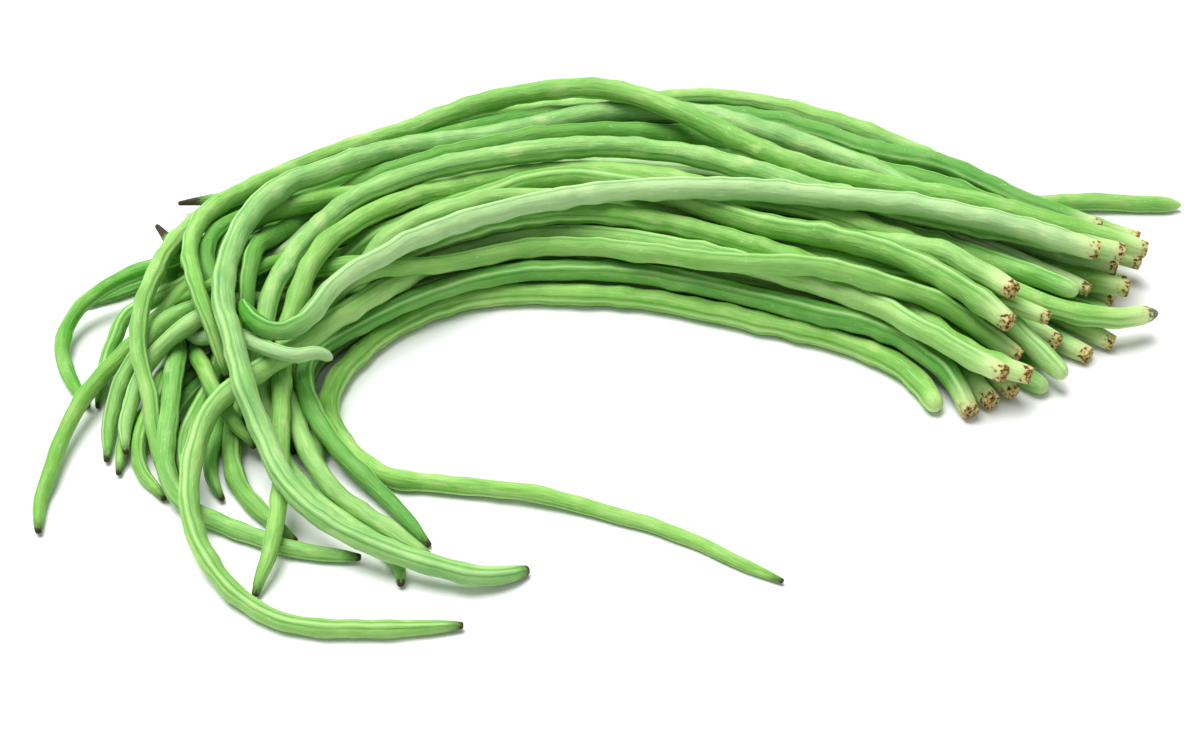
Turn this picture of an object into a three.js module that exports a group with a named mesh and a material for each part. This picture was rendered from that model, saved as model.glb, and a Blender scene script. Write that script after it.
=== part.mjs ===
// A bunch of fresh yardlong beans lying loose in a long arch: the cut stem ends are fanned out on
// the right, the limp pods arch over to the left and hang down in a tangle of tips at the front.
// Each pod grew as one piece, so each is one closed solid. Lengths are in millimetres, +Z is up.
import * as THREE from 'three';

const POD_RADIUS = 4.3; // a full-grown pod is about 8.6 mm thick
const STEM_LENGTH = 4; // the blunt end narrows over this length
const TAPER_LENGTH = 290; // the seeds get smaller over this length, towards the tip
const TIP_SHARE = 0.66; // thickness left just before the beak
const BEAK_LENGTH = 7; // the short pointed end
const GAP = 0.3; // kept between pods that touch
const SIDES = 6; // flat sides on each pod
const RINGS = 34; // cross-sections along each pod
const FLOOR_SHARE = 0.93; // height of a resting pod's middle over the surface, in radii
const PRESSED = 0.45; // a resting pod is pressed flat up to this height
const FIRMNESS = 0.3; // how much a well-seen pod gives way, next to one inside the bunch
const LOOK_DOWN = THREE.MathUtils.degToRad(42); // slope along which a route's depth was guessed
const ROUNDS = 520; // rounds of settling
const LOOSE_ROUNDS = 300; // of these, the last ones only part the pods

// The back and front edges of the bunch on the surface, from the stem ends to where the tips fan
// out. A pod that runs inside the bunch is laid between them.
const BACK_EDGE = [[132, 98], [112, 108], [75, 130], [25, 138], [-30, 133], [-78, 112]];
const FRONT_EDGE = [[122, 4], [95, 14], [60, 26], [15, 39], [-25, 42], [-63, 32]];

// Pods seen for most of their length: name, thickness, points from stem end to tip, and the
// thickness left before the beak where it isn't TIP_SHARE.
const SEEN_PODS = [
  ['pale_top_pod', 0.98, [[181, 36, 30], [111, 59, 33], [37, 65, 34], [0, 63, 34], [-37, 53, 34],
    [-65, 38, 33], [-79, 26, 32], [-93, 13, 32], [-104, -11, 36], [-108, -16, 37],
    [-113, -17, 38], [-119, -14, 39], [-123, -8, 38], [-126, 1, 36]], 0.78],
  ['high_back_pod', 1.0, [[191, 40, 20], [148, 55, 25], [106, 87, 26], [62, 113, 27], [31, 127, 27],
    [0, 128, 27], [-39, 113, 27], [-76, 99, 28], [-105, 77, 30], [-124, 58, 31], [-134, 26, 30],
    [-132, -3, 29], [-126, -19, 26], [-122, -33, 22], [-116, -46, 15], [-107, -67, 10],
    [-94, -82, 7], [-75, -92, 5], [-52, -101, 5], [-36, -104, 5], [-23, -100, 5]], 0.84],
  ['crossing_pod', 0.95, [[202, 48, 18], [170, 53, 23], [134, 63, 28], [97, 73, 31], [71, 82, 33],
    [46, 101, 34], [23, 120, 34], [4, 131, 32], [-20, 136, 29], [-47, 131, 27], [-78, 116, 25],
    [-107, 101, 24], [-132, 82, 25], [-147, 63, 27], [-150, 41, 28], [-146, 23, 27],
    [-140, 9, 22], [-133, 0, 15], [-125, -13, 8]]],
  ['rim_pod', 0.92, [[203, 62, 14], [173, 70, 17], [152, 80, 19], [124, 106, 20], [94, 127, 21],
    [63, 141, 21], [36, 145, 21], [8, 142, 19], [-24, 140, 18], [-59, 129, 18], [-93, 112, 18],
    [-123, 95, 19], [-144, 78, 20], [-156, 57, 21], [-162, 28, 21], [-160, -1, 18],
    [-156, -14, 13], [-151, -31, 9], [-149, -47, 5], [-142, -66, 4]]],
  ['second_arch_pod', 0.98, [[193, 45, 24], [154, 50, 26], [118, 59, 28], [89, 70, 30], [60, 85, 31],
    [34, 94, 31], [4, 96, 31], [-26, 90, 31], [-56, 82, 30], [-82, 68, 29], [-101, 51, 28],
    [-114, 32, 27], [-121, 14, 26], [-122, -4, 20], [-117, -26, 12], [-106, -50, 8],
    [-93, -70, 6], [-77, -85, 4], [-67, -96, 4], [-65, -107, 4]]],
  ['grey_ended_pod', 0.95, [[204, 22, 13], [184, 16, 15], [166, 17, 17], [145, 27, 20],
    [117, 44, 22], [89, 57, 25], [60, 66, 27], [34, 76, 28], [11, 85, 28], [-15, 88, 28],
    [-41, 82, 27], [-67, 71, 26], [-89, 55, 25], [-102, 35, 25], [-109, 13, 24], [-113, -6, 20],
    [-111, -30, 15], [-109, -50, 10], [-107, -70, 6], [-108, -92, 4], [-114, -111, 4]]],
  ['scarred_inner_pod', 1.05, [[142, -2, 22], [129, 13, 22], [109, 32, 22], [88, 46, 23],
    [59, 57, 25], [34, 67, 26], [8, 76, 26], [-23, 82, 24], [-53, 73, 22], [-78, 58, 20],
    [-96, 42, 18], [-109, 23, 16], [-119, -15, 11], [-125, -33, 9], [-125, -51, 7],
    [-120, -66, 5], [-109, -81, 4], [-103, -89, 4]]],
  ['low_stem_pod', 0.97, [[152, -16, 16], [135, -5, 17], [118, 14, 19], [102, 28, 20], [81, 40, 21],
    [52, 51, 23], [22, 59, 25], [-4, 63, 26], [-30, 60, 25], [-55, 48, 24], [-76, 34, 23],
    [-105, 30, 19], [-135, 20, 14], [-143, 2, 11], [-135, -21, 12], [-126, -41, 12],
    [-117, -51, 9]]],
  ['bottom_loop_pod', 0.97, [[141, -22, 22], [124, -4, 19], [101, 17, 18], [73, 32, 18],
    [44, 43, 19], [15, 52, 20], [-15, 58, 20], [-41, 55, 20], [-66, 42, 20], [-90, 19, 19],
    [-108, -4, 18], [-124, -23, 18], [-134, -35, 17], [-138, -49, 13], [-138, -67, 10],
    [-135, -83, 7], [-128, -98, 5], [-117, -111, 4], [-102, -122, 4], [-84, -126, 4],
    [-44, -125, 4]]],
  ['inner_arch_pod', 0.97, [[130, -25, 6], [124, -11, 10], [105, 11, 11], [73, 24, 12], [44, 34, 12],
    [15, 42, 12], [-15, 44, 12], [-41, 40, 12], [-66, 28, 12], [-90, 13, 12], [-105, -3, 12],
    [-104, -20, 11], [-92, -41, 9], [-75, -63, 6], [-58, -88, 4]]],
  ['back_straight_pod', 0.8, [[225, 94, 5], [193, 94, 6], [154, 93, 6], [118, 104, 5],
    [75, 124, 5], [25, 131, 5], [-30, 126, 5], [-78, 114, 6], [-117, 104, 9], [-143, 94, 10],
    [-163, 91, 9]]],
  ['long_tail_pod', 0.95, [[119, -20, 4], [113, -4, 4], [98, 10, 4], [73, 21, 4], [44, 30, 4],
    [15, 39, 4], [-15, 42, 4], [-41, 41, 4], [-63, 32, 4], [-80, 17, 4], [-91, -2, 4],
    [-95, -21, 4], [-88, -41, 4], [-74, -56, 4], [-54, -61, 5], [-27, -66, 7], [0, -74, 6],
    [27, -85, 5], [46, -97, 4], [60, -105, 4]], 0.5],
];

// Pods that run inside the bunch: name, thickness, how far back and how high they run in it, the
// stem end that shows, the stretch near the tip that shows, and the thickness left before the beak.
const INNER_PODS = [
  ['outer_loop_pod', 0.9, 0.72, 5, [[196, 44, 5]],
    [[-128, 70, 10], [-153, 54, 12], [-173, 42, 14], [-185, 35, 12], [-193, 23, 10],
      [-195, 9, 8], [-191, -4, 6], [-181, -21, 4]]],
  ['inside_loop_pod', 0.8, 0.6, 5, [[188, 30, 5]],
    [[-130, 62, 7], [-153, 53, 9], [-167, 46, 9], [-179, 39, 7], [-191, 33, 4]]],
  ['upturned_pod', 0.85, 0.8, 12, [[201, 50, 10]],
    [[-125, 62, 9], [-143, 55, 9], [-157, 57, 10], [-165, 68, 11], [-170, 76, 12]]],
  ['far_left_pod', 0.9, 0.55, 18, [[197, 38, 12]],
    [[-130, 51, 18], [-140, 42, 15], [-152, 29, 13], [-162, 14, 12], [-173, -4, 12], [-182, -22, 12],
      [-187, -40, 10], [-189, -59, 7], [-190, -71, 5], [-188, -84, 4]]],
  ['left_fan_pod_a', 0.9, 0.45, 18, [[170, 17, 22]],
    [[-122, 58, 18], [-144, 44, 18], [-153, 32, 18], [-161, 24, 17], [-169, 17, 16],
      [-174, 4, 12], [-177, -7, 8], [-178, -21, 4]]],
  ['left_fan_pod_b', 0.95, 0.35, 14, [[167, 2, 14]],
    [[-120, 32, 16], [-143, 11, 17], [-156, -2, 16], [-165, -14, 14], [-171, -28, 11],
      [-172, -41, 7], [-169, -55, 4]]],
  ['left_fan_pod_c', 0.95, 0.3, 11, [[168, -11, 5]],
    [[-118, 26, 12], [-140, 9, 14], [-152, -8, 14], [-162, -19, 12], [-165, -32, 10],
      [-165, -44, 7], [-162, -54, 4]]],
  ['left_fan_pod_d', 0.85, 0.5, 11, [[186, 15, 6]],
    [[-130, 22, 8], [-148, -4, 8], [-158, -22, 8], [-164, -35, 6], [-165, -56, 4]]],
  ['low_fan_pod', 0.95, 0.65, 12, [[190, 34, 5]],
    [[-126, 34, 16], [-142, 12, 16], [-148, -13, 16], [-154, -29, 14], [-155, -46, 11],
      [-151, -64, 7], [-140, -75, 5], [-124, -81, 4], [-103, -88, 4], [-78, -93, 4]]],
  ['inner_fan_pod_a', 0.92, 0.25, 4, [[156, -13, 4]],
    [[-105, 18, 7], [-128, -5, 9], [-135, -23, 9], [-134, -42, 8], [-133, -55, 6],
      [-128, -68, 4]]],
  ['inner_fan_pod_b', 0.95, 0.4, 4, [[177, 4, 4]],
    [[-110, 30, 6], [-132, 8, 7], [-143, -10, 7], [-148, -28, 6], [-147, -46, 5],
      [-141, -60, 4]]],
  ['curled_pod', 0.8, 0.6, 19, [[182, 30, 14]],
    [[-125, 48, 18], [-143, 34, 15], [-148, 20, 12], [-143, 7, 13], [-129, 7, 18], [-123, -3, 24], [-116, -13, 29],
      [-109, -21, 31], [-102, -21, 32], [-97, -21, 32], [-93, -23, 31]], 0.8],
  ['crossing_tip_pod', 0.8, 0.3, 18, [[160, 10, 14]],
    [[-95, 48, 18], [-124, 27, 18], [-140, 18, 19], [-156, 9, 20]]],
  ['short_tip_pod_a', 0.9, 0.15, 12, [[145, -14, 4]],
    [[-88, 34, 14], [-112, 18, 14], [-132, 4, 12], [-142, -8, 10], [-149, -22, 10],
      [-153, -34, 8]]],
  ['short_tip_pod_b', 0.9, 0.1, 20, [[148, -6, 12]],
    [[-84, 28, 22], [-104, 12, 20], [-118, 6, 18], [-128, -12, 16], [-122, -30, 14],
      [-114, -44, 12]]],
  ['low_fan_pod_b', 0.92, 0.82, 4, [[185, 60, 5]],
    [[-112, 84, 5], [-132, 54, 6], [-144, 26, 7], [-147, -1, 8], [-152, -24, 7], [-159, -39, 6],
      [-159, -54, 5], [-148, -68, 4]]],
  ['hidden_pod_b', 1.0, 1.0, 11, [[192, 64, 6], [158, 80, 8]],
    [[-108, 102, 10], [-138, 80, 10], [-152, 54, 12], [-156, 26, 12], [-152, 2, 10]]],
  ['hidden_pod_c', 1.0, 0.7, 20, [[188, 50, 14]],
    [[-104, 70, 20], [-126, 46, 20], [-134, 20, 20], [-134, -8, 14], [-128, -30, 8]]],
  ['low_fan_pod_c', 0.95, 0.5, 4, [[176, 24, 4]],
    [[-106, 56, 6], [-128, 32, 10], [-139, 12, 12], [-144, -4, 11], [-149, -19, 10],
      [-151, -37, 8], [-149, -52, 6], [-144, -64, 4]]],
  ['hidden_pod_e', 1.0, 0.2, 4, [[158, -2, 4]],
    [[-92, 30, 6], [-110, 12, 6], [-120, -6, 6], [-118, -26, 5], [-110, -42, 4]]],
  ['hidden_pod_f', 1.0, 0.92, 25, [[186, 56, 18], [156, 70, 22]],
    [[-98, 92, 20], [-122, 72, 20], [-138, 48, 20], [-142, 22, 20], [-138, 4, 16]]],
  ['second_tail_pod', 1.0, 0.3, 25, [[150, 12, 18]],
    [[-84, 54, 24], [-98, 34, 22], [-108, 10, 18], [-110, -15, 15], [-107, -35, 12],
      [-102, -50, 10], [-89, -69, 7], [-71, -84, 6], [-56, -94, 5]]],
  ['hidden_pod_h', 1.0, 0.75, 26, [[172, 52, 18]],
    [[-88, 84, 25], [-114, 60, 25], [-126, 36, 24], [-128, 12, 20], [-124, -10, 12]]],
  ['hidden_pod_i', 1.0, 0.1, 4, [[140, -14, 4]],
    [[-80, 26, 5], [-98, 8, 5], [-106, -12, 5], [-106, -34, 4], [-98, -52, 4]]],
];

// Points between the two edges of the bunch, a share of the way from front to back.
function laneThroughBunch(share, height) {
  return FRONT_EDGE.map(([x, y], i) => {
    const [backX, backY] = BACK_EDGE[i];
    return [x + (backX - x) * share, y + (backY - y) * share, height];
  });
}

// A smooth route as RINGS points, closer together towards the tip, where a pod curls more.
function ringCentres(route) {
  const corners = route.map((p) => new THREE.Vector3(...p));
  const curve = new THREE.CatmullRomCurve3(corners, false, 'centripetal');
  curve.arcLengthDivisions = 400;
  const points = [];
  for (let i = 0; i < RINGS; i += 1) {
    points.push(curve.getPointAt(1 - (1 - i / (RINGS - 1)) ** 1.25));
  }
  return points;
}

// The thickness of a pod at a distance from its stem end.
function radiusAt(distance, length, thickness, tipShare) {
  const toTip = length - distance;
  const stem = Math.min(1, 0.7 + 0.3 * (distance / STEM_LENGTH));
  const full = Math.sin(Math.min(1, toTip / TAPER_LENGTH) * Math.PI / 2);
  const taper = tipShare + (1 - tipShare) * full;
  const beak = Math.min(1, 0.3 + 0.7 * (toTip / BEAK_LENGTH));
  return POD_RADIUS * thickness * stem * taper * beak;
}

function makePod([name, thickness, route, tipShare = TIP_SHARE], give) {
  const points = ringCentres(route);
  const steps = points.slice(1).map((p, i) => p.distanceTo(points[i]));
  const distances = [0];
  steps.forEach((step) => distances.push(distances.at(-1) + step));
  const radii = distances.map((d) => radiusAt(d, distances.at(-1), thickness, tipShare));
  const bends = points.map((p, i) => (i === 0 || i === RINGS - 1
    ? new THREE.Vector3()
    : p.clone().sub(points[i - 1].clone().add(points[i + 1]).multiplyScalar(0.5))));
  const drawn = points.map((p) => p.clone());
  return { name, give, steps, distances, radii, bends, points, drawn };
}

// Draws each pod towards its route, firmly across the slope it was laid out on and loosely along it.
function pullToRoutes(pods, hold) {
  const slope = new THREE.Vector3(0, Math.cos(LOOK_DOWN), -Math.sin(LOOK_DOWN));
  for (const pod of pods) {
    pod.points.forEach((p, i) => {
      const off = pod.drawn[i].clone().sub(p);
      const along = slope.clone().multiplyScalar(off.dot(slope));
      p.add(off.sub(along).multiplyScalar(hold)).add(along.multiplyScalar(hold * 0.12));
    });
  }
}

function keepLengths(pod) {
  for (let i = 0; i < RINGS - 1; i += 1) {
    const step = pod.points[i + 1].clone().sub(pod.points[i]);
    const excess = step.length() - pod.steps[i];
    step.setLength(excess / 2);
    pod.points[i].add(step);
    pod.points[i + 1].sub(step);
  }
}

// A pod is springy: each ring keeps the bend that its route gives it.
function keepBends(pod, stiffness) {
  for (let i = 1; i < RINGS - 1; i += 1) {
    const middle = pod.points[i - 1].clone().add(pod.points[i + 1]).multiplyScalar(0.5);
    const off = middle.add(pod.bends[i]).sub(pod.points[i]).multiplyScalar(stiffness);
    pod.points[i].add(off);
    off.multiplyScalar(0.5);
    pod.points[i - 1].sub(off);
    pod.points[i + 1].sub(off);
  }
}

function restOnSurface(pod) {
  pod.points.forEach((p, i) => {
    p.z = Math.max(p.z, pod.radii[i] * FLOOR_SHARE);
  });
}

// How far along two segments their closest points lie, as shares from 0 to 1.
function closestShares(a, b, c, d) {
  const u = b.clone().sub(a);
  const v = d.clone().sub(c);
  const w = a.clone().sub(c);
  const uu = u.dot(u);
  const uv = u.dot(v);
  const vv = v.dot(v);
  const uw = u.dot(w);
  const vw = v.dot(w);
  const cross = uu * vv - uv * uv;
  const clamp = THREE.MathUtils.clamp;
  let s = cross > 1e-9 ? clamp((uv * vw - vv * uw) / cross, 0, 1) : 0.5;
  const t = clamp((uv * s + vw) / vv, 0, 1);
  s = clamp((uv * t - uw) / uu, 0, 1);
  return [s, t];
}

// Pushes two pods apart where these two stretches of them are too close. Gives how deep they were.
function partStretches(podA, i, podB, j) {
  const [a, b] = [podA.points[i], podA.points[i + 1]];
  const [c, d] = [podB.points[j], podB.points[j + 1]];
  const reach = podA.steps[i] + podB.steps[j] + 12;
  if (a.distanceToSquared(c) > reach * reach) return 0;
  const [s, t] = closestShares(a, b, c, d);
  const apart = a.clone().lerp(b, s).sub(c.clone().lerp(d, t));
  const needed = THREE.MathUtils.lerp(podA.radii[i], podA.radii[i + 1], s)
    + THREE.MathUtils.lerp(podB.radii[j], podB.radii[j + 1], t) + GAP;
  const depth = needed - apart.length();
  if (depth <= 0) return 0;
  const weight = podA.give * ((1 - s) ** 2 + s ** 2) + podB.give * ((1 - t) ** 2 + t ** 2);
  apart.setLength(depth / weight);
  a.addScaledVector(apart, (1 - s) * podA.give);
  b.addScaledVector(apart, s * podA.give);
  c.addScaledVector(apart, (t - 1) * podB.give);
  d.addScaledVector(apart, -t * podB.give);
  return depth;
}

// The pairs of stretches close enough to meet soon.
function findNeighbours(pods) {
  const pairs = [];
  pods.forEach((podA, m) => pods.slice(m + 1).forEach((podB) => {
    for (let i = 0; i < RINGS - 1; i += 1) {
      for (let j = 0; j < RINGS - 1; j += 1) {
        const reach = podA.steps[i] + podB.steps[j] + 16;
        if (podA.points[i].distanceToSquared(podB.points[j]) < reach * reach) {
          pairs.push([podA, i, podB, j]);
        }
      }
    }
  }));
  return pairs;
}

// Lets the pods sink onto the surface and onto each other, then parts those still too close.
function settle(pods) {
  let pairs = [];
  for (let round = 0; round < ROUNDS; round += 1) {
    const loose = round >= ROUNDS - LOOSE_ROUNDS;
    const fade = Math.max(0, 1 - round / (ROUNDS - LOOSE_ROUNDS));
    if (round % 20 === 0) pairs = findNeighbours(pods);
    if (!loose) pullToRoutes(pods, 0.02 + 0.06 * fade);
    for (const pod of pods) {
      if (!loose) pod.points.forEach((p) => { p.z -= 0.05; });
      keepBends(pod, loose ? 0.04 : 0.25);
      keepLengths(pod);
    }
    let deepest = 0;
    for (const pair of pairs) deepest = Math.max(deepest, partStretches(...pair));
    pods.forEach(restOnSurface);
    if (loose && deepest < 0.02) return;
  }
}

// A straight pod turned on a lathe, then bent along its settled middle line.
function podGeometry(pod) {
  const profile = [new THREE.Vector2(0, 0)];
  pod.distances.forEach((d, i) => profile.push(new THREE.Vector2(pod.radii[i], d)));
  profile.push(new THREE.Vector2(0, pod.distances.at(-1)));
  const geometry = new THREE.LatheGeometry(profile, SIDES, Math.PI / SIDES);
  const place = geometry.attributes.position;
  for (let k = 0; k < place.count; k += 1) {
    const ring = THREE.MathUtils.clamp((k % profile.length) - 1, 0, RINGS - 1);
    const before = pod.points[Math.max(ring - 1, 0)];
    const after = pod.points[Math.min(ring + 1, RINGS - 1)];
    const ahead = after.clone().sub(before).normalize();
    const side = ahead.clone().cross(new THREE.Vector3(0, 0, 1)).normalize();
    const up = side.clone().cross(ahead);
    const p = pod.points[ring].clone();
    p.addScaledVector(side, place.getX(k)).addScaledVector(up, place.getZ(k));
    place.setXYZ(k, p.x, p.y, p.z < PRESSED ? 0 : p.z);
  }
  return geometry;
}

const pods = SEEN_PODS.map((row) => makePod(row, FIRMNESS));
for (const [name, thickness, share, height, stem, tip, tipShare] of INNER_PODS) {
  const route = [...stem, ...laneThroughBunch(share, height), ...tip];
  pods.push(makePod([name, thickness, route, tipShare], 1));
}
settle(pods);

const bunch = new THREE.Group();
bunch.name = 'yardlong_bean_bunch';
pods.forEach((pod, k) => {
  const green = new THREE.Color().setHSL(0.27, 0.5, 0.42 + 0.03 * (k % 4));
  const material = new THREE.MeshStandardMaterial({ color: green, roughness: 0.5, metalness: 0 });
  const mesh = new THREE.Mesh(podGeometry(pod), material);
  mesh.name = pod.name;
  bunch.add(mesh);
});

// The bunch's box stands centred over the origin, with its underside at height 0.
const box = new THREE.Box3().setFromObject(bunch);
const middle = box.getCenter(new THREE.Vector3());
for (const mesh of bunch.children) {
  mesh.geometry.translate(-middle.x, -middle.y, -box.min.z);
}

export default bunch;
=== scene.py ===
"""A loose bunch of fresh yardlong beans, laid in an arch on a pale surface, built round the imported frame."""
import math
import random

import bpy
import numpy as np
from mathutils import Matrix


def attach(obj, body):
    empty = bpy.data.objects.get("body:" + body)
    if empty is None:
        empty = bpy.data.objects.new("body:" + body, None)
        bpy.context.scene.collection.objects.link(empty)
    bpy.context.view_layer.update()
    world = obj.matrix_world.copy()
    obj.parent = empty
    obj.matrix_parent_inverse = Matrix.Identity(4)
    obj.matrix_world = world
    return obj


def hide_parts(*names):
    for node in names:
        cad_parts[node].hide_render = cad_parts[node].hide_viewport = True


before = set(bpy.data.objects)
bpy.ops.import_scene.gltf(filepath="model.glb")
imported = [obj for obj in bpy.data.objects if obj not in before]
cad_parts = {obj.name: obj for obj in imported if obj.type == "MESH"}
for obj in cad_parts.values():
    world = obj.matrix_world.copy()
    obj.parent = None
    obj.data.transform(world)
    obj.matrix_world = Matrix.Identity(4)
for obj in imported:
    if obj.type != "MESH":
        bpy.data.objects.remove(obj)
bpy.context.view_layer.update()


# ---------------------------------------------------------------- the bean pods: straight pods
# A pod as it hangs on the vine: a long green tube of skin round its seeds, with a seam down each
# side. It grew in one piece. Where it was torn from its stalk the blunt end keeps a small brown
# crown round a dry hollow; some ends closed over smooth. The other end is drawn out to a dry beak.
POD_RADIUS = 0.0043
POD_LENGTH = 0.45
POD_SIDES = 16
POD_RINGS = 150
POD_WIDENING = 0.02  # a pod is a little wider from seam to seam than across

STEM_ZONE = 0.012  # in these end zones the rings are close together, to hold the shape of the end
STEM_RINGS = 15
BEAK_ZONE = 0.022
BEAK_RINGS = 20

SEAM_HEIGHT = 0.05  # as a share of the radius; widths and places are angles round the pod
SEAM_WIDTH = 0.2
GROOVE_DEPTH = 0.03
GROOVE_PLACE = 0.42
GROOVE_WIDTH = 0.18

CROWN_WALL = 0.0009
HOLLOW_DEPTH = 0.0012
HOLLOW_TAPER = 0.8
STUB_GAP = 0.0006
STUB_HEIGHT = 0.0014
STUB_TAPER = 0.7
STUB_RADIUS = 0.0015  # the stub of the stalk stands inside this, and the teeth outside it
TOOTH_COUNT = 10
TOOTH_LENGTH = 0.0011
TOOTH_STRETCH = (0.3, 1.7)
TOOTH_SPREAD = (0.9, 1.35)

# Each end's shape: distances from the end, and the share of the pod's radius that is left there.
TORN_STEM = ([0, 0.001, 0.0025, 0.004, 0.007, 0.011],
             [0.8, 0.85, 0.9, 0.93, 0.97, 1.0])
ROUND_STEM = ([0, 0.0003, 0.0008, 0.0016, 0.0028, 0.0045, 0.0075],
              [0.22, 0.42, 0.6, 0.76, 0.88, 0.96, 1.0])
POINTED_STEM = ([0, 0.0004, 0.0014, 0.003, 0.0048, 0.007, 0.009],
                [0.16, 0.3, 0.48, 0.7, 0.87, 0.97, 1.0])
BEAKED_TIP = ([0, 0.0003, 0.001, 0.002, 0.003, 0.0045, 0.007, 0.011, 0.016],
              [0.36, 0.5, 0.56, 0.6, 0.66, 0.76, 0.88, 0.96, 1.0])
ROUND_TIP = ([0, 0.0003, 0.0008, 0.0016, 0.0028, 0.0045, 0.0075],
             [0.25, 0.45, 0.65, 0.82, 0.92, 0.98, 1.0])
POD_KINDS = {
    "torn": (TORN_STEM, BEAKED_TIP),
    "smooth": (ROUND_STEM, BEAKED_TIP),
    "pointed": (POINTED_STEM, BEAKED_TIP),
    "blunt": (TORN_STEM, ROUND_TIP),
}


def deselect_all():
    if bpy.context.object and bpy.context.object.mode != "OBJECT":
        bpy.ops.object.mode_set(mode="OBJECT")
    bpy.ops.object.select_all(action="DESELECT")


def select_where(mesh, test):
    """Selects the faces that pass a test, in edit mode."""
    bpy.ops.mesh.select_all(action="DESELECT")
    bpy.ops.object.mode_set(mode="OBJECT")
    for face in mesh.polygons:
        face.select = test(face)
    bpy.ops.object.mode_set(mode="EDIT")


def ring_places():
    """Where each ring lies along a straight pod: close together at both ends."""
    stem = STEM_ZONE * np.linspace(0, 1, STEM_RINGS) ** 1.4
    beak = POD_LENGTH - BEAK_ZONE * np.linspace(1, 0, BEAK_RINGS) ** 1.3
    body = np.linspace(STEM_ZONE, POD_LENGTH - BEAK_ZONE, POD_RINGS + 3 - STEM_RINGS - BEAK_RINGS)
    return np.concatenate([stem, body[1:-1], beak])


def straight_tube(name):
    """A closed tube along X, cut into rings."""
    deselect_all()
    bpy.ops.mesh.primitive_cylinder_add(
        vertices=POD_SIDES, radius=POD_RADIUS, depth=POD_LENGTH,
        location=(POD_LENGTH / 2, 0, 0), rotation=(0, math.pi / 2, 0))
    bpy.ops.object.transform_apply(location=True, rotation=True, scale=True)
    tube = bpy.context.object
    tube.name = name
    mesh = tube.data

    bpy.ops.object.mode_set(mode="EDIT")
    bpy.ops.mesh.select_mode(type="EDGE")
    bpy.ops.mesh.select_all(action="DESELECT")
    bpy.ops.object.mode_set(mode="OBJECT")
    for edge in mesh.edges:
        start, end = (mesh.vertices[i].co for i in edge.vertices)
        edge.select = abs(start.x - end.x) > POD_LENGTH / 2
    bpy.ops.object.mode_set(mode="EDIT")
    bpy.ops.mesh.subdivide(number_cuts=POD_RINGS - 1)
    bpy.ops.mesh.select_mode(type="FACE")
    bpy.ops.object.mode_set(mode="OBJECT")

    places = ring_places()
    for vertex in mesh.vertices:
        vertex.co.x = places[round(vertex.co.x / POD_LENGTH * POD_RINGS)]
    return tube


def narrow_ends(tube, stem_profile, tip_profile):
    """Draws the tube in towards both ends."""
    for vertex in tube.data.vertices:
        share = np.interp(vertex.co.x, *stem_profile)
        share *= np.interp(POD_LENGTH - vertex.co.x, *tip_profile)
        vertex.co.y *= share
        vertex.co.z *= share


def raise_seams(tube):
    """The two seams stand up a little, with a fine groove along both sides of each."""
    for vertex in tube.data.vertices:
        angle = math.atan2(vertex.co.z, vertex.co.y)
        off_seam = min(abs(angle), math.pi - abs(angle))
        seam = SEAM_HEIGHT * math.exp(-((off_seam / SEAM_WIDTH) ** 2))
        groove = GROOVE_DEPTH * math.exp(-(((off_seam - GROOVE_PLACE) / GROOVE_WIDTH) ** 2))
        lift = 1 + seam - groove
        vertex.co.y *= lift * (1 + POD_WIDENING)
        vertex.co.z *= lift * (1 - POD_WIDENING)


def crown_the_stem(tube, seed):
    """A torn stem end: a ragged crown of dry scales, a hollow inside it and the stub of the stalk."""
    shake = random.Random(seed)
    mesh = tube.data
    bpy.context.view_layer.objects.active = tube
    bpy.ops.object.mode_set(mode="EDIT")
    select_where(mesh, lambda f: f.normal.x < -0.9 and len(f.vertices) == POD_SIDES)
    bpy.ops.mesh.inset(thickness=CROWN_WALL, depth=0.0)
    bpy.ops.mesh.extrude_region_move(TRANSFORM_OT_translate={"value": (HOLLOW_DEPTH, 0, 0)})
    bpy.ops.transform.resize(value=(1, HOLLOW_TAPER, HOLLOW_TAPER), center_override=(HOLLOW_DEPTH, 0, 0))
    bpy.ops.mesh.inset(thickness=STUB_GAP, depth=0.0)
    bpy.ops.mesh.extrude_region_move(TRANSFORM_OT_translate={"value": (-STUB_HEIGHT, 0, 0)})
    bpy.ops.transform.resize(value=(1, STUB_TAPER, STUB_TAPER), center_override=(0, 0, 0))
    bpy.ops.object.mode_set(mode="OBJECT")

    rim = [f.index for f in mesh.polygons if f.normal.x < -0.9 and f.center.x < 0.0001
           and len(f.vertices) == 4 and math.hypot(f.center.y, f.center.z) > 2 * CROWN_WALL]
    teeth = set(shake.sample(rim, min(len(rim), TOOTH_COUNT)))
    bpy.ops.object.mode_set(mode="EDIT")
    select_where(mesh, lambda f: f.index in teeth)
    bpy.ops.mesh.extrude_faces_move(TRANSFORM_OT_shrink_fatten={"value": -TOOTH_LENGTH})
    bpy.ops.object.mode_set(mode="OBJECT")
    for vertex in mesh.vertices:
        if vertex.co.x < -0.0002 and math.hypot(vertex.co.y, vertex.co.z) > STUB_RADIUS:
            spread = shake.uniform(*TOOTH_SPREAD)
            vertex.co.x *= shake.uniform(*TOOTH_STRETCH)
            vertex.co.y *= spread
            vertex.co.z *= spread


def round_off(tube):
    """One round of smoothing, applied."""
    bpy.context.view_layer.objects.active = tube
    tube.select_set(True)
    smooth = tube.modifiers.new("smooth", "SUBSURF")
    smooth.levels = smooth.render_levels = 1
    bpy.ops.object.modifier_apply(modifier="smooth")
    bpy.ops.object.shade_smooth()
    tube.select_set(False)


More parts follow.
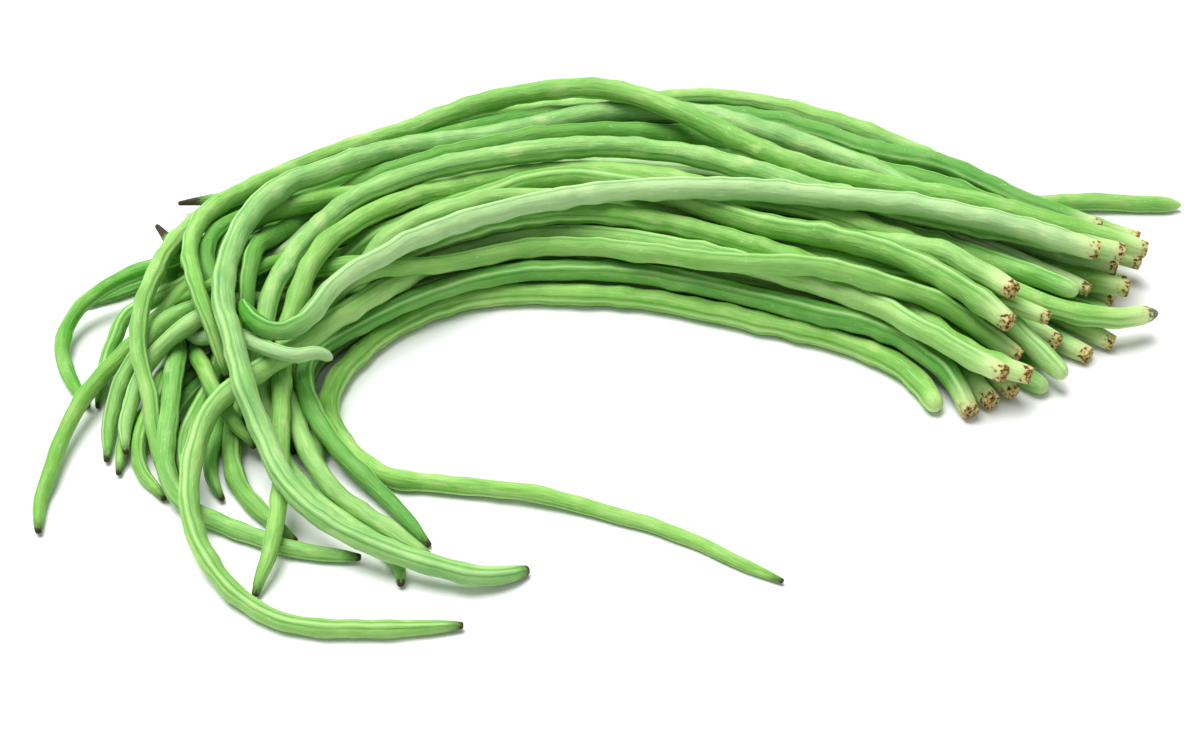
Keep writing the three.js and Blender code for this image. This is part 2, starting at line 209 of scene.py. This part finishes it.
straight_pods = {}
for kind, (stem_profile, tip_profile) in POD_KINDS.items():
    tube = straight_tube(f"straight_{kind}")
    narrow_ends(tube, stem_profile, tip_profile)
    raise_seams(tube)
    if stem_profile is TORN_STEM:
        crown_the_stem(tube, seed=4)
    round_off(tube)
    straight_pods[kind] = tube


# ---------------------------------------------------------------- the bean pods: skin
# Pod skin is smooth and faintly waxy, mottled from yellow-green to mid green, with fine lengthwise
# streaks and pale seams. It pales towards the stalk and dries brown at the crown and the beak.
DARK_GREEN = (0.045, 0.31, 0.01)
MID_GREEN = (0.14, 0.455, 0.042)
LIGHT_GREEN = (0.32, 0.58, 0.15)
STREAK_GREEN = (0.42, 0.63, 0.27)
STRIPE_GREEN = (0.035, 0.27, 0.008)
BLOTCH_YELLOW = (0.52, 0.65, 0.24)
# a deeper green: a pod's own tone, and also the painted shade on pods deep in the bunch and on the pale top
# pod's hooked end
SHADED_GREEN = (0.03, 0.24, 0.008)
YELLOWED_GREEN = (0.37, 0.58, 0.12)
WAXY_PALE = (0.6, 0.74, 0.45)
# pale flecks: partly speckles of the skin, partly painted sheen
FLECK_AND_SHEEN_PALE = (0.62, 0.78, 0.4)
SEAM_PALE = (0.46, 0.7, 0.28)
GROOVE_GREEN = (0.025, 0.22, 0.006)
STEM_PALE = (0.6, 0.76, 0.34)
SCAR_COLOURS = ((0.08, 0.035, 0.01), (0.27, 0.14, 0.04), (0.5, 0.34, 0.12), (0.68, 0.56, 0.27))
SCAR_EDGE = (0.5, 0.4, 0.17)
GREY_STEM = (0.11, 0.15, 0.1)
TIP_GREEN = (0.05, 0.14, 0.015)
BEAK_BROWN = (0.045, 0.032, 0.014)


def feed(tree, socket, value):
    """Gives a socket a number, a colour or another node's output."""
    if isinstance(value, (int, float)):
        socket.default_value = value
    elif isinstance(value, tuple):
        socket.default_value = (*value, 1)
    else:
        tree.links.new(value, socket)


def kept_value(tree, name):
    """One of the values that keep_skin_values keeps on each point of a pod."""
    node = tree.nodes.new("ShaderNodeAttribute")
    node.attribute_name = name
    return node.outputs


def three_parts(tree, vector):
    node = tree.nodes.new("ShaderNodeSeparateXYZ")
    tree.links.new(vector, node.inputs[0])
    return node.outputs


def ramp(tree, source, stops):
    """A colour ramp on a value."""
    node = tree.nodes.new("ShaderNodeValToRGB")
    tree.links.new(source, node.inputs["Fac"])
    elements = node.color_ramp.elements
    while len(elements) < len(stops):
        elements.new(0.5)
    for element, (place, colour) in zip(elements, stops):
        element.position = place
        element.color = (*colour, 1)
    return node.outputs["Color"]


def mix_colours(tree, share, under, over):
    """Lays one colour over another by a share. Each may be a plain value or a node's output."""
    node = tree.nodes.new("ShaderNodeMix")
    node.data_type = "RGBA"
    for socket, value in ((node.inputs[0], share), (node.inputs[6], under), (node.inputs[7], over)):
        feed(tree, socket, value)
    return node.outputs[2]


def span(tree, source, low, high, to_low=0.0, to_high=1.0):
    """Maps a value from one range to another, smoothly."""
    node = tree.nodes.new("ShaderNodeMapRange")
    node.interpolation_type = "SMOOTHSTEP"
    tree.links.new(source, node.inputs["Value"])
    for name, value in (("From Min", low), ("From Max", high), ("To Min", to_low), ("To Max", to_high)):
        node.inputs[name].default_value = value
    return node.outputs["Result"]


def noise_on(tree, vector, stretch, scale, detail, roughness=0.5):
    """Noise where the point grew, stretched along the pod."""
    place = tree.nodes.new("ShaderNodeMapping")
    place.inputs["Scale"].default_value = stretch
    tree.links.new(vector, place.inputs["Vector"])
    noise = tree.nodes.new("ShaderNodeTexNoise")
    tree.links.new(place.outputs["Vector"], noise.inputs["Vector"])
    for name, value in (("Scale", scale), ("Detail", detail), ("Roughness", roughness)):
        noise.inputs[name].default_value = value
    return noise.outputs["Fac"]


def work_out(tree, operation, *values):
    """Arithmetic on numbers or nodes' outputs."""
    node = tree.nodes.new("ShaderNodeMath")
    node.operation = operation
    for socket, value in zip(node.inputs, values):
        feed(tree, socket, value)
    return node.outputs[0]


def ragged_distance(tree, distance, ragged, depth):
    """A distance from an end that wanders, so that a colour set by it has a ragged edge."""
    wander = work_out(tree, "MULTIPLY", work_out(tree, "SUBTRACT", ragged, 0.5), depth)
    return work_out(tree, "ADD", distance, wander)


def mottled_green(tree, grown, streaks):
    """The greens that every pod has: patches, fine pale streaks, broad dark stripes and blotches."""
    patches = noise_on(tree, grown, (1, 2.2, 2.2), 60, 5, 0.6)
    broad = noise_on(tree, grown, (0.04, 1, 1), 420, 2)
    blotches = noise_on(tree, grown, (1, 1.6, 1.6), 75, 3)
    green = ramp(tree, patches, [(0.34, DARK_GREEN), (0.5, MID_GREEN), (0.66, LIGHT_GREEN)])
    green = mix_colours(tree, span(tree, streaks, 0.45, 0.7, 0, 0.6), green, STREAK_GREEN)
    green = mix_colours(tree, span(tree, broad, 0.5, 0.68, 0, 0.5), green, STRIPE_GREEN)
    return mix_colours(tree, span(tree, blotches, 0.58, 0.72, 0, 0.55), green, BLOTCH_YELLOW)


def toned(tree, green, tone):
    """The pod's own tone laid over its greens; its shading part also carries the painted shade of pods deep in
    the bunch and of the pale top pod's hooked end.
    """
    shading, yellowing, paling = three_parts(tree, tone)
    green = mix_colours(tree, shading, green, SHADED_GREEN)
    green = mix_colours(tree, yellowing, green, YELLOWED_GREEN)
    return mix_colours(tree, paling, green, WAXY_PALE)


def seamed(tree, green, grown, seam):
    """Pale flecks, partly the skin's own speckles and partly painted sheen, the pale seams and the dark line
    along each side of a seam.
    """
    flecks = noise_on(tree, grown, (0.5, 1, 1), 900, 2)
    beside = work_out(tree, "ABSOLUTE", work_out(tree, "SUBTRACT", seam, 0.34))
    green = mix_colours(tree, span(tree, flecks, 0.66, 0.76, 0, 0.35), green, FLECK_AND_SHEEN_PALE)
    green = mix_colours(tree, span(tree, seam, 0.0, 0.2, 0.6, 0), green, SEAM_PALE)
    return mix_colours(tree, span(tree, beside, 0.0, 0.16, 0.5, 0), green, GROOVE_GREEN)


def dried_ends(tree, green, grown, from_stem, to_tip, greyed):
    """The stem end pales to a dry scar, and the tip darkens to the beak."""
    ragged = noise_on(tree, grown, (1, 1, 1), 620, 4)
    stem = ragged_distance(tree, from_stem, ragged, 0.012)
    tip = ragged_distance(tree, to_tip, ragged, 0.005)
    scar = ramp(tree, ragged, list(zip((0.38, 0.45, 0.52, 0.6), SCAR_COLOURS)))
    scar = mix_colours(tree, greyed, scar, GREY_STEM)
    skin = mix_colours(tree, span(tree, from_stem, 0.002, 0.016, 0.75, 0), green, STEM_PALE)
    skin = mix_colours(tree, span(tree, stem, 0.001, 0.0055, 0.6, 0), skin, SCAR_EDGE)
    skin = mix_colours(tree, span(tree, stem, 0.0009, 0.0024, 1, 0), skin, scar)
    skin = mix_colours(tree, span(tree, tip, 0.001, 0.007, 0.8, 0), skin, TIP_GREEN)
    return mix_colours(tree, span(tree, tip, 0.0006, 0.002, 1, 0), skin, BEAK_BROWN)


def pod_skin():
    material = bpy.data.materials.new("pod_skin")
    material.use_nodes = True
    tree = material.node_tree
    shader = tree.nodes["Principled BSDF"]

    grown = kept_value(tree, "grown")["Vector"]
    tone = kept_value(tree, "tone")["Vector"]
    greyed = kept_value(tree, "greyed")["Fac"]
    from_stem, to_tip, seam = three_parts(tree, kept_value(tree, "ends")["Vector"])

    streaks = noise_on(tree, grown, (0.05, 1, 1), 1500, 3, 0.6)
    green = mottled_green(tree, grown, streaks)
    green = toned(tree, green, tone)
    green = seamed(tree, green, grown, seam)
    colour = dried_ends(tree, green, grown, from_stem, to_tip, greyed)
    tree.links.new(colour, shader.inputs["Base Color"])

    tree.links.new(span(tree, streaks, 0.3, 0.7, 0.45, 0.6), shader.inputs["Roughness"])
    shader.inputs["IOR"].default_value = 1.45
    shader.inputs["Specular IOR Level"].default_value = 0.18
    shader.inputs["Subsurface Weight"].default_value = 0.3
    shader.inputs["Subsurface Radius"].default_value = (0.4, 1.0, 0.15)
    shader.inputs["Subsurface Scale"].default_value = 0.002
    shader.inputs["Coat Weight"].default_value = 0.04
    shader.inputs["Coat Roughness"].default_value = 0.35

    wrinkles = noise_on(tree, grown, (0.35, 1, 1), 420, 4)
    relief = work_out(tree, "ADD", work_out(tree, "MULTIPLY", streaks, 0.35), wrinkles)
    bump = tree.nodes.new("ShaderNodeBump")
    bump.inputs["Strength"].default_value = 0.75
    bump.inputs["Distance"].default_value = 0.0008
    tree.links.new(relief, bump.inputs["Height"])
    tree.links.new(bump.outputs["Normal"], shader.inputs["Normal"])
    return material


skin = pod_skin()


# ---------------------------------------------------------------- the bean pods: the bunch
# Nothing ties the bunch: each pod lies where its weight and its neighbours put it. A straight pod
# is copied, given its own seeds, twist and tone of green, and bent along the middle of its solid
# in the frame.
SMOOTH_STEMS = ("long_tail_pod", "left_fan_pod_a", "left_fan_pod_c",
                "inner_fan_pod_a", "hidden_pod_e", "inside_loop_pod")
POINTED_STEMS = ("grey_ended_pod", "back_straight_pod")
ROUND_TIPS = ("curled_pod", "pale_top_pod")
GREY_STEMS = ("grey_ended_pod",)
DRIED_TIPS = ("upturned_pod", "back_straight_pod")
SHADED_PODS = ("hidden", "inner", "inside")  # how their names start: they lie deep in the bunch and get painted shade
PALE_PODS = {  # how pale and waxy each is
    "pale_top_pod": 0.5, "curled_pod": 0.5, "left_fan_pod_c": 0.25, "long_tail_pod": 0.05,
    "high_back_pod": 0.25, "bottom_loop_pod": 0.15, "second_tail_pod": 0.2, "second_arch_pod": 0.2,
}

SEED_SPACING = (0.009, 0.016)
SEED_SIZE = (0.0032, 0.0052)
SEED_SWELL = (0.03, 0.19)
SEED_SIDEWAYS = 0.00055
SEED_UPWARDS = 0.0004
FIRST_SEED = (0.012, 0.02)
SEEDLESS_TIP = 0.02
WAIST = 0.96  # a pod's thickness between its seeds
WAVE_COUNT = 3
WAVE_STRETCH = (0.008, 0.018)
WAVE_SIDEWAYS = (0.00008, 0.0003)
WAVE_UPWARDS = 0.0002
ROLL = 0.7  # either way, in radians, as the twist is
QUARTER_TURNED = 0.35  # the share of pods that lie a quarter turn round
TWIST = 0.8

SKIN_SHIFT = 1.7  # the next pod's skin starts this much further along the patterns
MOST_SHADING = 0.5
MOST_YELLOWING = 0.3
MOST_PALING = 0.12
BURIED_POD_PAINTED_SHADE = 0.3  # painted shade added to a pod that lies deep in the bunch
PALE_SHADING = 0.3  # the share of its shading that a pale pod keeps
GREYED = 0.8
HOOK_PAINTED_SHADE_END = 0.072  # the painted shade (a deep green) on the pale top pod's hooked end is gone this far from its tip
HOOK_PAINTED_SHADE_FADE = 0.045

# These move an end for the skin, so that its dry colours reach further or never show.
GREY_STEM_SHIFT = -0.0032
HEALED_STEM_SHIFT = 0.007
ROUND_TIP_SHIFT = 0.01
DRIED_TIP_SHIFT = -0.007


def mesh_points(mesh):
    points = np.empty(len(mesh.vertices) * 3)
    mesh.vertices.foreach_get("co", points)
    return points.reshape(-1, 3)


def merged_mesh(node):
    """A CAD node's points with doubles merged, and its triangles."""
    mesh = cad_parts[node].data
    index, merged, place = [], [], {}
    for point in mesh_points(mesh):
        key = tuple(np.round(point, 5))
        if key not in place:
            place[key] = len(merged)
            merged.append(point)
        index.append(place[key])
    triangles = [[index[v] for v in face.vertices] for face in mesh.polygons]
    return np.array(merged), triangles


def flat_poles(points, triangles):
    """The point in the middle of each flat end: all the triangles round it face one way."""
    normals = {}
    for a, b, c in triangles:
        normal = np.cross(points[b] - points[a], points[c] - points[a])
        for v in (a, b, c):
            normals.setdefault(v, []).append(normal / np.linalg.norm(normal))
    return [v for v, around in normals.items() if all(np.dot(around[0], n) > 0.999 for n in around)]


def middle_line(node):
    """A CAD pod's ring centres and radii, from stem end to tip, found ring by ring from one end."""
    points, triangles = merged_mesh(node)
    beside = {}
    for face in triangles:
        for v in face:
            beside.setdefault(v, set()).update(face)
    ring, seen = {flat_poles(points, triangles)[0]}, set()
    centres, radii = [], []
    while ring:
        if len(ring) > 1:
            # The two points at the ring's middle height face each other across it.
            level = sorted(ring, key=lambda v: points[v][2])
            half = len(level) // 2
            left, right = points[level[half - 1]], points[level[half]]
            centres.append((left + right) / 2)
            radii.append(np.linalg.norm(left - right) / 2)
        seen |= ring
        ring = set().union(*(beside[v] for v in ring)) - seen
    if radii[0] < radii[-1]:
        centres, radii = centres[::-1], radii[::-1]
    # The end rings are the rims of the flat ends, and the straight pod has its own shape there.
    radii[0], radii[-1] = radii[1], radii[-2]
    return centres, radii


def bend_guide(centres, radii):
    """A smooth curve through the ring centres, as thick as the pod is, and its length."""
    data = bpy.data.curves.new("guide", "CURVE")
    data.dimensions = "3D"
    data.twist_mode = "Z_UP"
    data.resolution_u = 10
    spline = data.splines.new("BEZIER")
    spline.bezier_points.add(len(centres) - 1)
    for point, centre, radius in zip(spline.bezier_points, centres, radii):
        point.co = centre
        point.radius = radius / POD_RADIUS
        point.handle_left_type = point.handle_right_type = "AUTO"
    guide = bpy.data.objects.new("guide", data)
    bpy.context.collection.objects.link(guide)
    return guide, spline.calc_length()


def pod_kind(node):
    if node in SMOOTH_STEMS:
        return "smooth"
    if node in POINTED_STEMS:
        return "pointed"
    return "blunt" if node in ROUND_TIPS else "torn"


def copied_pod(node, kind):
    """A straight pod of that kind, with its own mesh."""
    pod = straight_pods[kind].copy()
    pod.data = straight_pods[kind].data.copy()
    pod.name = pod.data.name = f"{node}_grown"
    bpy.context.collection.objects.link(pod)
    return pod


def keep_skin_values(mesh, node, kind, number, points, length, shake):
    """Keeps on each point what the skin follows.

    "grown" is where the point is on the unbent pod. "ends" is how far it is from the stem end and from
    the tip, and how far round from a seam. "tone" is the pod's shading, yellowing and paling; the shading
    is a deeper green, and also painted shade on pods deep in the bunch and on the pale top pod's hooked
    end. "greyed" is how far the stem end has turned grey instead of brown.
    """
    grown = points.copy()
    grown[:, 0] += number * SKIN_SHIFT

    from_stem = points[:, 0].copy()
    if node in GREY_STEMS:
        from_stem += GREY_STEM_SHIFT
    elif kind in ("smooth", "pointed"):
        from_stem += HEALED_STEM_SHIFT
    to_tip = length - points[:, 0]
    if kind == "blunt":
        to_tip += ROUND_TIP_SHIFT
    elif node in DRIED_TIPS:
        to_tip += DRIED_TIP_SHIFT
    off_seam = np.abs(np.sin(np.arctan2(points[:, 2], points[:, 1])))
    ends = np.stack([from_stem, to_tip, off_seam], axis=1)

    shading = shake.uniform(0, MOST_SHADING)
    yellowing = shake.uniform(0, MOST_YELLOWING)
    paling = shake.uniform(0, MOST_PALING)
    tone = np.tile([shading, yellowing, PALE_PODS.get(node, paling)], (len(points), 1))
    if node in PALE_PODS:
        tone[:, 0] *= PALE_SHADING
    # Painted shade: a pod that lies deep in the bunch is painted a deeper green.
    if node.startswith(SHADED_PODS):
        tone[:, 0] += BURIED_POD_PAINTED_SHADE
    # Painted shade: the pale top pod's hooked end lies in the shade, so it is painted a deeper green and its
    # paleness fades out there.
    if node == "pale_top_pod":
        hooked = np.clip((HOOK_PAINTED_SHADE_END - to_tip) / HOOK_PAINTED_SHADE_FADE, 0, 1)
        tone[:, 0] = 0.1 + 0.7 * hooked
        tone[:, 2] *= 1 - hooked

    for name, values in (("grown", grown), ("ends", ends), ("tone", tone)):
        attribute = mesh.attributes.new(name, "FLOAT_VECTOR", "POINT")
        attribute.data.foreach_set("vector", values.ravel())
    greyed = mesh.attributes.new("greyed", "FLOAT", "POINT")
    greyed.data.foreach_set("value", np.full(len(points), GREYED if node in GREY_STEMS else 0.0))


def swell_seeds(points, length, shake):
    """Swells the pod over each seed, draws it in between, and lets it wander a little from side to side."""
    along = points[:, 0]
    swell = np.zeros(len(points))
    sideways = np.zeros(len(points))
    upwards = np.zeros(len(points))
    place = shake.uniform(*FIRST_SEED)
    while place < length - SEEDLESS_TIP:
        seed = np.exp(-((along - place) / shake.uniform(*SEED_SIZE)) ** 2)
        swell += seed * shake.uniform(*SEED_SWELL)
        sideways += seed * shake.uniform(-SEED_SIDEWAYS, SEED_SIDEWAYS)
        upwards += seed * shake.uniform(-SEED_UPWARDS, SEED_UPWARDS)
        place += shake.uniform(*SEED_SPACING)
    for _ in range(WAVE_COUNT):
        wave = np.sin(along / shake.uniform(*WAVE_STRETCH) + shake.uniform(0, 6.28))
        sideways += wave * shake.uniform(*WAVE_SIDEWAYS)
        upwards += wave * shake.uniform(-WAVE_UPWARDS, WAVE_UPWARDS)
    points[:, 1] = points[:, 1] * (WAIST + swell) + sideways
    points[:, 2] = points[:, 2] * (WAIST + swell) + upwards


def bend_along(pod, guide):
    deselect_all()
    bpy.context.view_layer.objects.active = pod
    pod.select_set(True)
    bend = pod.modifiers.new("bend", "CURVE")
    bend.object = guide
    bend.deform_axis = "POS_X"
    bpy.ops.object.modifier_apply(modifier="bend")
    bpy.data.objects.remove(guide)


def lay_pod(node, number):
    """One pod of the bunch, in its CAD solid's place."""
    shake = random.Random(100 + number)
    guide, length = bend_guide(*middle_line(node))
    kind = pod_kind(node)
    pod = copied_pod(node, kind)
    mesh = pod.data

    # Only the body is stretched, and both ends keep their shape.
    points = mesh_points(mesh)
    body = (points[:, 0] - STEM_ZONE) / (POD_LENGTH - STEM_ZONE - BEAK_ZONE)
    points[:, 0] += np.clip(body, 0, 1) * (length - POD_LENGTH)

    roll = shake.uniform(-ROLL, ROLL)
    if shake.random() < QUARTER_TURNED:
        roll += math.pi / 2
    keep_skin_values(mesh, node, kind, number, points, length, shake)

    twist = roll + shake.uniform(-TWIST, TWIST) * points[:, 0] / length
    across, up = points[:, 1].copy(), points[:, 2].copy()
    points[:, 1] = across * np.cos(twist) - up * np.sin(twist)
    points[:, 2] = across * np.sin(twist) + up * np.cos(twist)
    swell_seeds(points, length, shake)
    mesh.vertices.foreach_set("co", points.ravel())
    bend_along(pod, guide)

    # A swollen pod is pressed flat where it rests on the surface.
    resting = mesh_points(mesh)
    resting[:, 2] = np.maximum(resting[:, 2], 0)
    mesh.vertices.foreach_set("co", resting.ravel())
    mesh.update()

    mesh.materials.clear()
    mesh.materials.append(skin)
    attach(pod, "root")
    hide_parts(node)


for number, node in enumerate(sorted(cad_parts)):
    lay_pod(node, number)
for straight in straight_pods.values():
    bpy.data.objects.remove(straight)


# ---------------------------------------------------------------- the surface, the light and the camera
# A plain white sheet under the bunch in a white room, soft light from overhead, a little behind
# and to the left, and a camera looking down on the bunch from the front.
SHEET_SIZE = 40
SHEET_WHITE = (0.9, 0.9, 0.9, 1)
ROOM_WHITE = (0.97, 0.985, 1, 1)
WALL_LIGHT = 0.95  # the walls are brighter than the ceiling
CEILING_LIGHT = 0.38
WINDOW_SPREAD = math.radians(48)
WINDOW_TILT = math.radians(-15)
WINDOW_LIGHT = 4.35
CAMERA_LENS = 75
CAMERA_TILT = math.radians(42)
CAMERA_DISTANCE = 0.9
AIM = (-0.0139, -0.0112)

deselect_all()
bpy.ops.mesh.primitive_plane_add(size=SHEET_SIZE, location=(0, 0, 0))
sheet = bpy.context.object
sheet.name = "floor"
paper = bpy.data.materials.new("white_sheet")
paper.use_nodes = True
paper_shader = paper.node_tree.nodes["Principled BSDF"]
paper_shader.inputs["Base Color"].default_value = SHEET_WHITE
paper_shader.inputs["Roughness"].default_value = 0.8
paper_shader.inputs["Specular IOR Level"].default_value = 0.1
sheet.data.materials.append(paper)

world = bpy.data.worlds.new("studio")
bpy.context.scene.world = world
world.use_nodes = True
room = world.node_tree
background = room.nodes["Background"]
facing = room.nodes.new("ShaderNodeTexCoord")
_, _, height = three_parts(room, facing.outputs["Generated"])
background.inputs["Color"].default_value = ROOM_WHITE
room.links.new(span(room, height, 0.06, 0.3, WALL_LIGHT, CEILING_LIGHT), background.inputs["Strength"])

window = bpy.data.lights.new("window", "SUN")
window.angle = WINDOW_SPREAD
window.energy = WINDOW_LIGHT
window_light = bpy.data.objects.new("window", window)
window_light.rotation_euler = (WINDOW_TILT, WINDOW_TILT, 0)
bpy.context.collection.objects.link(window_light)

camera = bpy.data.objects.new("camera", bpy.data.cameras.new("camera"))
bpy.context.collection.objects.link(camera)
camera.data.lens = CAMERA_LENS
camera.data.sensor_width = 36
camera.location = (AIM[0], AIM[1] - CAMERA_DISTANCE * math.cos(CAMERA_TILT),
                   CAMERA_DISTANCE * math.sin(CAMERA_TILT))
camera.rotation_euler = (math.pi / 2 - CAMERA_TILT, 0, 0)
bpy.context.scene.camera = camera
bpy.context.scene.view_settings.view_transform = "Standard"
